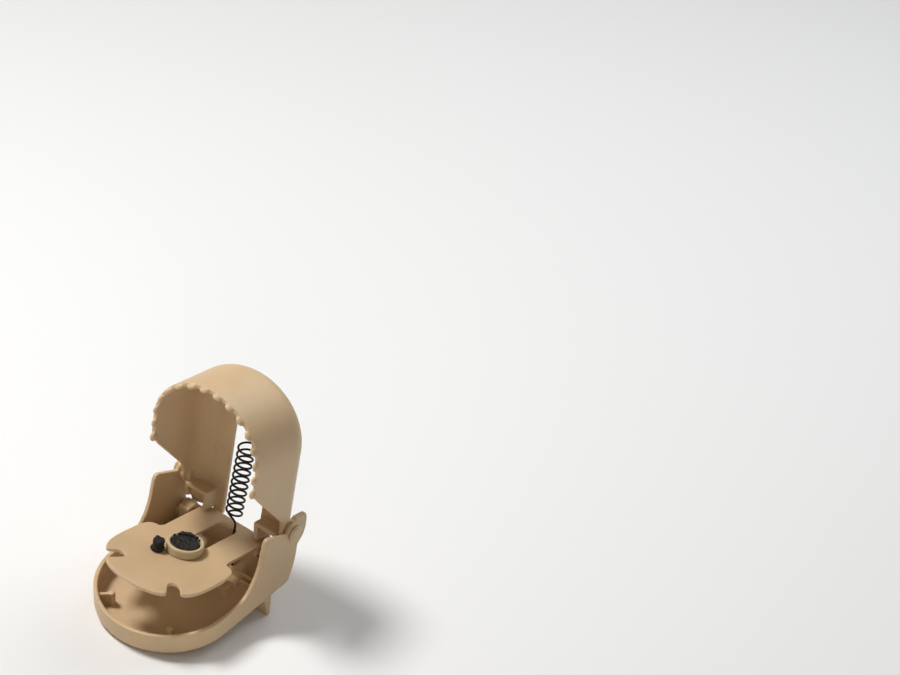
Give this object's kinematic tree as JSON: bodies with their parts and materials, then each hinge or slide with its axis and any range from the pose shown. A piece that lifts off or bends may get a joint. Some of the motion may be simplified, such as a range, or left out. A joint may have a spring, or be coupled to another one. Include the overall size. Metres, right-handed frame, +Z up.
{
  "type": "snap mouse trap",
  "caption": "Moulded plastic snap trap for mice, set open: toothed scoop jaw on a low tray, baited pedal trigger and a wire extension spring.",
  "frame": {"origin": "middle of the object's footprint box, on the surface it stands on", "axes": "+Z up, +Y to the back where the jaw is hinged, +X to the trap's right-hand side seen from the front, along the hinge axis"},
  "size_m": [0.0528, 0.0674, 0.0847],
  "materials": {
    "tan_plastic": "satin moulded",
    "cream_plastic": "satin moulded",
    "pin_plastic": "satin moulded",
    "black_bait": "waxy paste",
    "dark_wire": "oil-blackened spring wire"
  },
  "bodies": {
    "base": {"base_tray": "tan_plastic", "spring_anchor_pin": "pin_plastic"},
    "jaw": {"jaw_shell": "tan_plastic", "hinge_pin_left": "pin_plastic", "hinge_pin_right": "pin_plastic", "jaw_spring_peg": "pin_plastic"},
    "trigger": {"trigger_plate": "tan_plastic", "trigger_pin_left": "pin_plastic", "trigger_pin_right": "pin_plastic", "bait_cup": "cream_plastic", "bait_fill": "black_bait", "bait_lump": "black_bait"},
    "spring": {"tension_spring": "dark_wire"}
  },
  "joints": [
    {"name": "jaw_swing", "type": "hinge", "parent": "base", "child": "jaw", "pos_m": [0, 0.02256, 0.0305], "axis": [1, 0, 0], "range_deg": [0, 90], "deforming": ["tension_spring"]},
    {"name": "trigger_press", "type": "hinge", "parent": "base", "child": "trigger", "pos_m": [0, 0.02037, 0.01711], "axis": [1, 0, 0], "range_deg": [0, 23.4]},
    {"name": "spring_swing", "type": "hinge", "parent": "base", "child": "spring", "pos_m": [0, 0.01801, 0.01139], "axis": [1, 0, 0], "range_deg": [0, 51.3]}
  ],
  "couplings": [
    {"joint": "trigger_press", "follows": "jaw_swing", "ratio": 0.26},
    {"joint": "spring_swing", "follows": "jaw_swing", "ratio": 0.5687}
  ]
}
